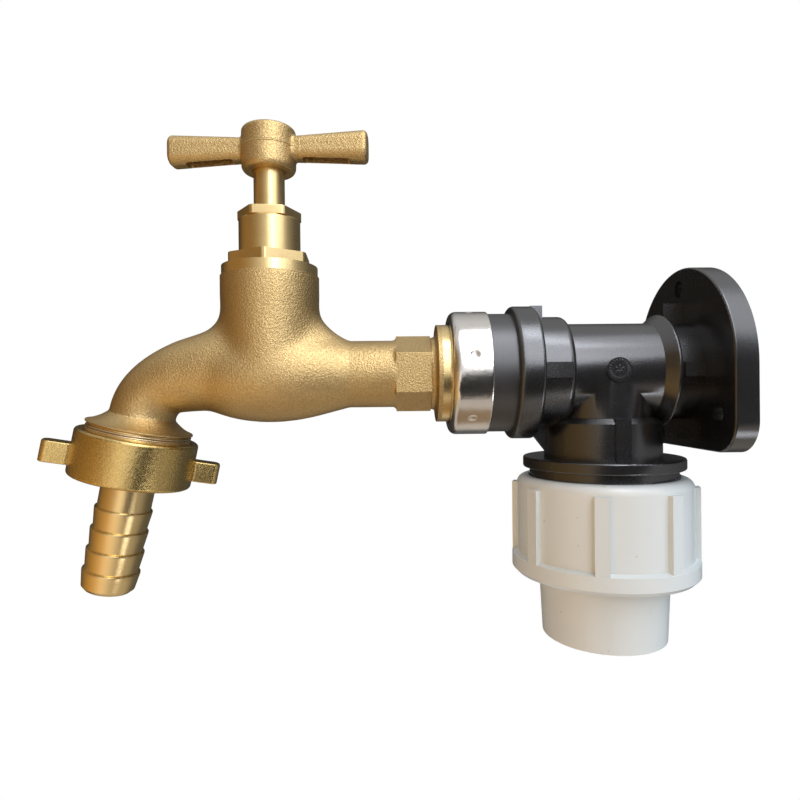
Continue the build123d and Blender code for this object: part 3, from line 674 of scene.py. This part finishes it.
class TAP_OT_handle(Operator):
    """Blend the cast handle's arms into its hub"""

    bl_idname = "tap.handle"
    bl_label = "Handle"

    def execute(self, context):
        own = context.scene.tap_detail
        finish = cast_brass("cast_handle_brass", own.parting_height)
        hub = merged_copy("handle", "handle_hub")
        for side in (-1, 1):
            keep_side(hub, (VALVE_AXIS_X + side * (own.hub_reach + own.hub_lap), 0, 0), (-side, 0, 0))
        blend(hub, own.handle_cell, HUB_ROUNDS, hub_weight)
        seat(hub, "handle", finish, BLENDED_ANGLE)
        for name, side in (("handle_arm_left", -1), ("handle_arm_right", 1)):
            arm = merged_copy("handle", name)
            break_edges(arm, own.plastic_edge)
            keep_side(arm, (VALVE_AXIS_X + side * own.hub_reach, 0, 0), (side, 0, 0))
            seat(arm, "handle", finish)
        return {"FINISHED"}


class TAP_OT_turned_pieces(Operator):
    """Dress the turned spindle, bonnet, gland nut and hose tail"""

    bl_idname = "tap.turned_pieces"
    bl_label = "Turned pieces"

    def execute(self, context):
        detail = context.scene.tap_detail
        upright = turned_brass("turned_brass")
        for node in ("bonnet", "gland_nut", "spindle"):
            dressed_copy(node, upright, detail.metal_edge)
        lean = math.atan2(-OUTLET_AXIS.x, -OUTLET_AXIS.z)
        dressed_copy("hose_tail", turned_brass("turned_hose_brass", lean), detail.metal_edge)
        return {"FINISHED"}


class TAP_OT_union_nut(Operator):
    """Dress the winged union nut"""

    bl_idname = "tap.union_nut"
    bl_label = "Union nut"

    def execute(self, context):
        dressed_copy("union_nut", tumbled_brass(), context.scene.tap_detail.union_edge)
        return {"FINISHED"}


def whole_weight(point):
    """Blend a piece all over."""
    return 1.0


class TAP_OT_steel_ring(Operator):
    """Dress the plated ring on the elbow's mouth"""

    bl_idname = "tap.steel_ring"
    bl_label = "Steel ring"

    def execute(self, context):
        ring = merged_copy("reinforcing_ring", "reinforcing_ring_dressed")
        blend(ring, context.scene.tap_detail.ring_cell, RING_ROUNDS, whole_weight)
        seat(ring, "reinforcing_ring", plated_steel(), BLENDED_ANGLE)
        return {"FINISHED"}


class TAP_OT_wall_elbow(Operator):
    """Dress the moulded wall elbow"""

    bl_idname = "tap.wall_elbow"
    bl_label = "Wall elbow"

    def execute(self, context):
        dressed_copy("wall_elbow", moulded_black(), context.scene.tap_detail.plastic_edge)
        return {"FINISHED"}


class TAP_OT_compression_nut(Operator):
    """Dress the moulded compression nut"""

    bl_idname = "tap.compression_nut"
    bl_label = "Compression nut"

    def execute(self, context):
        dressed_copy("compression_nut", moulded_ivory(), context.scene.tap_detail.plastic_edge)
        return {"FINISHED"}


def add_piece(piece, name, node, finish):
    """Finish a new piece that rides with a node."""
    pick(piece)
    piece.name = name
    bpy.ops.object.transform_apply(location=True, rotation=True, scale=True)
    bpy.ops.object.shade_smooth_by_angle(angle=DRESSED_ANGLE)
    piece.data.materials.append(finish)
    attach(piece, frame["nodes"][node]["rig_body"])


def thread_ridge(radius, section, pitch, turns):
    """A helical ridge about the origin's Z axis, rising from Z 0."""
    deselect_all()
    upright = (math.pi / 2, 0, 0)
    bpy.ops.mesh.primitive_circle_add(vertices=10, radius=section, fill_type="NOTHING", rotation=upright)
    ridge = bpy.context.object
    bpy.ops.object.transform_apply(rotation=True)
    bpy.ops.object.mode_set(mode="EDIT")
    bpy.ops.mesh.select_all(action="SELECT")
    bpy.ops.transform.translate(value=(radius, 0, 0))
    bpy.ops.object.mode_set(mode="OBJECT")
    screw = ridge.modifiers.new("screw", "SCREW")
    screw.angle = math.tau * turns
    screw.screw_offset = pitch * turns
    screw.steps = screw.render_steps = int(96 * turns)
    screw.use_normal_calculate = True
    bpy.ops.object.modifier_apply(modifier=screw.name)
    bpy.ops.object.mode_set(mode="EDIT")
    bpy.ops.mesh.select_all(action="SELECT")
    bpy.ops.mesh.fill_holes(sides=0)
    bpy.ops.mesh.normals_make_consistent(inside=False)
    bpy.ops.object.mode_set(mode="OBJECT")
    return ridge


class TAP_OT_threads(Operator):
    """Add the ridges of the pipe thread and of the outlet thread"""

    bl_idname = "tap.threads"
    bl_label = "Thread ridges"

    def execute(self, context):
        pipe = thread_ridge(radius=0.01895, section=0.00044, pitch=0.004, turns=4.2)
        pipe.location = (PIPE_AXIS_X, 0, PIPE_THREAD_FOOT)
        add_piece(pipe, "pipe_thread_ridge", "wall_elbow", bpy.data.materials["moulded_black"])
        outlet = thread_ridge(radius=0.01296, section=0.00024, pitch=0.00058, turns=2.0)
        tilt = Vector((0, 0, 1)).rotation_difference(OUTLET_AXIS).to_matrix().to_4x4()
        outlet.matrix_world = Matrix.Translation(OUTLET_RIM + OUTLET_AXIS * OUTLET_THREAD_DROP) @ tilt
        add_piece(outlet, "outlet_thread_ridge", "tap_body", bpy.data.materials["cast_brass"])
        return {"FINISHED"}


class TAP_OT_stamp(Operator):
    """Add the raised ticks on the elbow's stamp disc"""

    bl_idname = "tap.stamp"
    bl_label = "Stamp ticks"

    def execute(self, context):
        own = context.scene.tap_detail
        middle = (PIPE_AXIS_X, own.stamp_face, 0)
        for name, reach, length, count in (
            ("stamp_ticks", own.stamp_reach, 0.00085, 22),
            ("stamp_star", own.stamp_reach * 0.33, 0.0010, 6),
        ):
            deselect_all()
            bpy.ops.mesh.primitive_cube_add(size=1.0)
            tick = context.object
            bpy.ops.object.mode_set(mode="EDIT")
            bpy.ops.mesh.select_all(action="SELECT")
            bpy.ops.transform.resize(value=(TICK_WIDTH, TICK_DEPTH, length))
            bpy.ops.mesh.bevel(offset=TICK_EDGE, segments=2, affect="EDGES")
            bpy.ops.mesh.select_all(action="SELECT")
            bpy.ops.transform.translate(value=(PIPE_AXIS_X, own.stamp_face, reach))
            bpy.ops.mesh.spin(steps=count, dupli=True, angle=math.tau, center=middle, axis=(0, 1, 0))
            bpy.ops.mesh.select_all(action="SELECT")
            bpy.ops.mesh.remove_doubles(threshold=MERGE_REACH)
            bpy.ops.mesh.normals_make_consistent(inside=False)
            bpy.ops.object.mode_set(mode="OBJECT")
            add_piece(tick, name, "wall_elbow", bpy.data.materials["moulded_black"])
        return {"FINISHED"}


class TAP_OT_inner_pieces(Operator):
    """Finish the seals, rings and valve pieces inside"""

    bl_idname = "tap.inner_pieces"
    bl_label = "Inner pieces"

    def execute(self, context):
        own = settings()
        rubber = soft_finish("rubber", own.rubber_black, roughness=0.6, grain=0.0004)
        polymer = soft_finish("white_polymer", own.polymer_white, roughness=0.45, grain=0.0008)
        fibre = soft_finish("red_fibre", own.fibre_red, roughness=0.75, grain=0.0005)
        paint(["pipe_seal", "valve_washer", "outlet_gasket"], rubber)
        paint(["grip_ring", "thrust_ring", "gland_packing"], polymer)
        paint(["bonnet_gasket"], fibre)
        paint(["jumper", "packing_washer"], turned_brass("inner_brass"))
        paint(["handle_screw", "washer_nut"], soft_metal("screw_steel", own.ring_steel))
        return {"FINISHED"}


def aim(spot, target):
    """Turn an object so that its -Z axis points at a target."""
    spot.rotation_euler = (target - spot.location).to_track_quat("-Z", "Y").to_euler()


def softbox(name, place, target, size, radiance, colour, shine):
    """A rectangular soft light of a given brightness, for reflections or for plain light."""
    data = bpy.data.lights.new(name, "AREA")
    data.shape = "RECTANGLE"
    data.size, data.size_y = size
    data.energy = radiance * math.pi * size[0] * size[1]
    data.color = colour
    lamp = bpy.data.objects.new(name, data)
    bpy.context.scene.collection.objects.link(lamp)
    lamp.location = place
    aim(lamp, target)
    lamp.visible_camera = False
    lamp.visible_glossy = shine
    lamp.visible_diffuse = not shine


def direction(turn, rise):
    """Unit vector at an angle from the front towards the right and an angle of rise, in degrees."""
    turn, rise = math.radians(turn), math.radians(rise)
    return Vector((math.sin(turn) * math.cos(rise), -math.cos(turn) * math.cos(rise), math.sin(rise)))


def studio_world():
    """White for what the camera sees, softer for the light that falls on the object."""
    world = bpy.data.worlds.new("studio")
    world.use_nodes = True
    bpy.context.scene.world = world
    sky = NodeTree(world.node_tree)
    background = world.node_tree.nodes["Background"]
    sky.feed(background.inputs["Color"], sky.mix(sky.seen(), (0.09, 0.09, 0.09), (1.0, 1.0, 1.0)))


# Card colours round the set from back left over the front at 0.5 to back right, in three bands of height
LEVEL_CARDS = (
    (0.00, (0.03, 0.03, 0.03)),
    (0.14, (0.05, 0.04, 0.03)),
    (0.24, (0.30, 0.19, 0.08)),
    (0.33, (0.28, 0.17, 0.07)),
    (0.40, (0.36, 0.27, 0.17)),
    (0.47, (0.62, 0.60, 0.58)),
    (0.52, (0.84, 0.84, 0.84)),
    (0.65, (0.84, 0.84, 0.84)),
    (0.72, (0.30, 0.30, 0.30)),
    (0.82, (0.10, 0.10, 0.10)),
)
SKIRT_CARDS = (
    (0.00, (0.03, 0.03, 0.03)),
    (0.14, (0.06, 0.05, 0.04)),
    (0.34, (0.55, 0.34, 0.13)),
    (0.40, (0.64, 0.45, 0.26)),
    (0.44, (0.90, 0.74, 0.58)),
    (0.48, (1.50, 1.45, 1.40)),
    (0.53, (1.05, 1.05, 1.10)),
    (0.58, (0.55, 0.55, 0.58)),
    (0.72, (0.36, 0.36, 0.37)),
    (0.84, (0.10, 0.10, 0.10)),
)
LOW_CARDS = (
    (0.00, (0.03, 0.03, 0.03)),
    (0.14, (0.07, 0.06, 0.05)),
    (0.31, (0.70, 0.42, 0.12)),
    (0.38, (0.86, 0.58, 0.30)),
    (0.43, (1.20, 0.92, 0.64)),
    (0.49, (1.10, 0.94, 0.78)),
    (0.55, (0.70, 0.62, 0.55)),
    (0.74, (0.40, 0.38, 0.36)),
    (0.85, (0.12, 0.12, 0.12)),
)


# Heights, as sines of the rise, over which each band of cards takes over from the one below it
# The floor band takes over from a painted shadow of the tap straight below
FLOOR_START = (-0.97, -0.90)
LOW_START = (-0.78, -0.66)
SKIRT_START = (-0.36, -0.24)
LEVEL_START = (-0.04, 0.08)
TOP_START = (0.40, 0.80)


def tent_finish():
    """Card colours round the set that only shiny surfaces reflect."""
    finish = StageFinish("tent")
    way = finish.node("ShaderNodeVectorMath", {"operation": "NORMALIZE"}, {0: finish.place()})
    across, away, height = finish.split(way)
    turn = across.bearing(0.0 - away) * (1 / math.tau) + 0.5
    level, skirt, low = [
        finish.node("ShaderNodeValToRGB", {"stops": cards}, {0: turn})
        for cards in (LEVEL_CARDS, SKIRT_CARDS, LOW_CARDS)
    ]
    # Straight below, the cards are dark brown: a painted shadow of the tap on the floor, seen only in
    # reflections
    room = finish.mix(finish.spread(height, *FLOOR_START), (0.32, 0.22, 0.13), (0.62, 0.56, 0.50))
    top = finish.mix(finish.spread(away, 0.15, 0.75), (0.74, 0.74, 0.75), (0.50, 0.50, 0.50))
    bands = ((LOW_START, low), (SKIRT_START, skirt), (LEVEL_START, level), (TOP_START, top))
    for start, band in bands:
        room = finish.mix(finish.spread(height, *start), room, band)
    finish.show(finish.glow(room))
    finish.material.cycles.emission_sampling = "NONE"
    return finish.material


def flag_finish():
    """Black card that keeps a low part of the set out of the reflections."""
    finish = StageFinish("flag")
    finish.show(finish.glow((0.03, 0.03, 0.03)))
    finish.material.cycles.emission_sampling = "NONE"
    return finish.material


def floor_finish():
    """Pale floor that keeps a soft shadow near the object and runs out to white."""
    finish = StageFinish("floor")
    far = finish.node("ShaderNodeVectorMath", {"operation": "LENGTH"}, {0: finish.place()}, output="Value")
    fade = finish.spread(far, 0.08, 0.28) * 0.45 + 0.55
    pale = finish.node("ShaderNodeBsdfDiffuse", None, {"Color": (0.85, 0.85, 0.85, 1.0)})
    white = finish.glow((1.0, 1.0, 1.0))
    finish.show(finish.node("ShaderNodeMixShader", None, {0: fade * finish.seen(), 1: pale, 2: white}))
    return finish.material


# Light colours
COOL = (0.94, 0.975, 1.08)
WARM = (1.0, 0.61, 0.30)
# Name, turn to the right and rise in degrees, size, brightness, colour, and whether it is for reflections
LAMPS = (
    ("panel_shine", 33, 44, (0.66, 0.80), 1.25, COOL, True),
    ("strip_shine", 20, 24, (0.20, 0.55), 2.2, COOL, True),
    ("ceiling_shine", 32, 62, (0.14, 0.26), 6.0, COOL, True),
    ("window_shine", 46, -40, (0.18, 0.16), 4.0, COOL, True),
    ("panel_light", 42, 34, (0.80, 0.70), 2.8, COOL, False),
    ("warm_light", -40, 2, (0.50, 0.50), 2.4, WARM, False),
    ("back_light", 200, 35, (0.70, 0.70), 1.3, COOL, False),
)


def stage_object(name, finish):
    """Name the primitive just added and give it its finish."""
    made = bpy.context.object
    made.name = name
    made.data.materials.append(finish)
    return made


def photo_camera(own):
    """The camera at the photo's angle."""
    data = bpy.data.cameras.new("camera")
    data.lens = own.camera_lens
    data.clip_start = 0.01
    camera = bpy.data.objects.new("camera", data)
    bpy.context.scene.collection.objects.link(camera)
    turn = Matrix.Rotation(own.camera_yaw, 3, "Z") @ Matrix.Rotation(own.camera_pitch, 3, "X")
    turn = turn @ Matrix.Rotation(own.camera_roll, 3, "Y") @ Matrix.Rotation(math.radians(90), 3, "X")
    camera.matrix_world = Matrix.Translation(own.camera_place) @ turn.to_4x4()
    return camera


class TAP_OT_stage(Operator):
    """Set up the floor, lights and camera"""

    bl_idname = "tap.stage"
    bl_label = "Stage"

    def execute(self, context):
        own = context.scene.tap_stage
        middle = (cad_box[0] + cad_box[1]) / 2
        ground = (middle.x, middle.y, cad_box[0].z - own.floor_drop)
        deselect_all()
        bpy.ops.mesh.primitive_circle_add(vertices=96, radius=ROOM_REACH, fill_type="NGON", location=ground)
        floor = stage_object("floor", floor_finish())
        floor.visible_glossy = False
        deselect_all()
        bpy.ops.mesh.primitive_uv_sphere_add(segments=48, ring_count=24, radius=ROOM_REACH, location=middle)
        tent = stage_object("tent", tent_finish())
        deselect_all()
        lean = (math.pi / 2, own.flag_lean, 0)
        bpy.ops.mesh.primitive_plane_add(size=1.0, location=own.flag_place, rotation=lean)
        flag = stage_object("flag", flag_finish())
        flag.scale = (own.flag_length, own.flag_width, 1.0)
        for card in (tent, flag):
            card.visible_camera = False
            card.visible_diffuse = False
            card.visible_transmission = False
            card.visible_shadow = False
        for name, turn, rise, size, radiance, colour, shine in LAMPS:
            softbox(name, middle + LAMP_REACH * direction(turn, rise), middle, size, radiance, colour, shine)
        studio_world()
        context.scene.camera = photo_camera(own)
        context.scene.view_settings.view_transform = "Standard"
        return {"FINISHED"}


PIECE_OPERATORS = (
    TAP_OT_cast_body,
    TAP_OT_handle,
    TAP_OT_turned_pieces,
    TAP_OT_union_nut,
    TAP_OT_steel_ring,
    TAP_OT_wall_elbow,
    TAP_OT_compression_nut,
    TAP_OT_threads,
    TAP_OT_stamp,
    TAP_OT_inner_pieces,
    TAP_OT_stage,
)


class TAP_PT_dressing(Panel):
    """Buttons for each piece of the tap and for the stage"""

    bl_idname = "TAP_PT_dressing"
    bl_label = "Garden Tap"
    bl_space_type = "VIEW_3D"
    bl_region_type = "UI"
    bl_category = "Tap"

    def draw(self, context):
        for operator in PIECE_OPERATORS:
            self.layout.operator(operator.bl_idname)


CLASSES = (TapFinishSettings, TapDetailSettings, TapStageSettings, *PIECE_OPERATORS, TAP_PT_dressing)


def register():
    """Register the classes and their settings."""
    for each in CLASSES:
        bpy.utils.register_class(each)
    bpy.types.Scene.tap_finish = PointerProperty(type=TapFinishSettings)
    bpy.types.Scene.tap_detail = PointerProperty(type=TapDetailSettings)
    bpy.types.Scene.tap_stage = PointerProperty(type=TapStageSettings)


def unregister():
    """Take the classes and their settings away again."""
    del bpy.types.Scene.tap_stage
    del bpy.types.Scene.tap_detail
    del bpy.types.Scene.tap_finish
    for each in reversed(CLASSES):
        bpy.utils.unregister_class(each)


def main():
    """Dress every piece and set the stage."""
    register()
    bpy.ops.tap.cast_body()
    bpy.ops.tap.handle()
    bpy.ops.tap.turned_pieces()
    bpy.ops.tap.union_nut()
    bpy.ops.tap.steel_ring()
    bpy.ops.tap.wall_elbow()
    bpy.ops.tap.compression_nut()
    bpy.ops.tap.threads()
    bpy.ops.tap.stamp()
    bpy.ops.tap.inner_pieces()
    bpy.ops.tap.stage()


if __name__ == "__main__":
    main()
